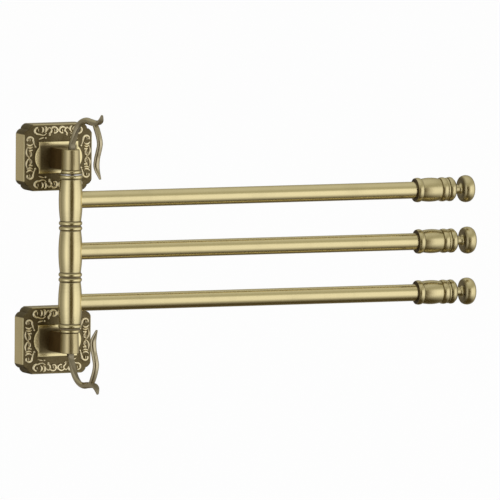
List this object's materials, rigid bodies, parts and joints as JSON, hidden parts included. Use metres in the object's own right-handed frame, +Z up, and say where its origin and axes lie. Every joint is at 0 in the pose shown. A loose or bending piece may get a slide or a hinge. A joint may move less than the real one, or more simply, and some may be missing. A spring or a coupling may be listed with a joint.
{
  "type": "swing arm towel bar",
  "caption": "Wall towel bar in antique brass: two square plates hold an upright pivot column with swinging rails and a robe hook at each end.",
  "frame": {"origin": "on the wall plane, midway between the four wall screw holes, behind the pivot column", "axes": "+Z up along the column, -Y out of the wall into the room, +X along the rails at rest"},
  "size_m": [0.3967, 0.084, 0.2326],
  "materials": {
    "antique_brass": "brushed antique brass under clear lacquer",
    "plain_brass": "turned, unplated",
    "plain_steel": "zinc plated",
    "washer_steel": "bright rolled",
    "nylon": "moulded nylon"
  },
  "bodies": {
    "root": {"wall_bracket_upper": "plain_steel", "wall_bracket_lower": "plain_steel", "wall_plate_upper": "antique_brass", "wall_plate_lower": "antique_brass", "grub_screw_upper": "plain_steel", "grub_screw_lower": "plain_steel", "post_upper": "antique_brass", "post_lower": "antique_brass", "post_screw_upper": "plain_steel", "post_screw_lower": "plain_steel", "post_washer_upper": "plain_steel", "post_washer_lower": "plain_steel", "collar_ring_upper": "antique_brass", "collar_ring_lower": "antique_brass", "hook_upper": "antique_brass", "hook_lower": "antique_brass", "pivot_rod": "plain_steel", "spacer_bottom": "nylon", "spacer_lower": "nylon", "spacer_upper": "nylon", "thrust_washer_top": "washer_steel"},
    "upper_arm": {"hub_upper": "antique_brass", "hub_bush_top_upper": "nylon", "hub_bush_bottom_upper": "nylon", "arm_stud_upper": "plain_steel", "arm_tube_upper": "antique_brass", "tube_plug_upper": "plain_brass", "ferrule_upper": "antique_brass", "knob_upper": "antique_brass"},
    "middle_arm": {"hub_middle": "antique_brass", "hub_bush_top_middle": "nylon", "hub_bush_bottom_middle": "nylon", "arm_stud_middle": "plain_steel", "arm_tube_middle": "antique_brass", "tube_plug_middle": "plain_brass", "ferrule_middle": "antique_brass", "knob_middle": "antique_brass"},
    "lower_arm": {"hub_lower": "antique_brass", "hub_bush_top_lower": "nylon", "hub_bush_bottom_lower": "nylon", "arm_stud_lower": "plain_steel", "arm_tube_lower": "antique_brass", "tube_plug_lower": "plain_brass", "ferrule_lower": "antique_brass", "knob_lower": "antique_brass"}
  },
  "joints": [
    {"name": "upper_arm_swing", "type": "hinge", "parent": "root", "child": "upper_arm", "pos_m": [0, -0.043, 0.043], "axis": [0, 0, -1], "range_deg": [-2.3, 177.7]},
    {"name": "middle_arm_swing", "type": "hinge", "parent": "root", "child": "middle_arm", "pos_m": [0, -0.043, 0], "axis": [0, 0, -1], "range_deg": [-3, 177]},
    {"name": "lower_arm_swing", "type": "hinge", "parent": "root", "child": "lower_arm", "pos_m": [0, -0.043, -0.043], "axis": [0, 0, -1], "range_deg": [-3, 177]}
  ]
}
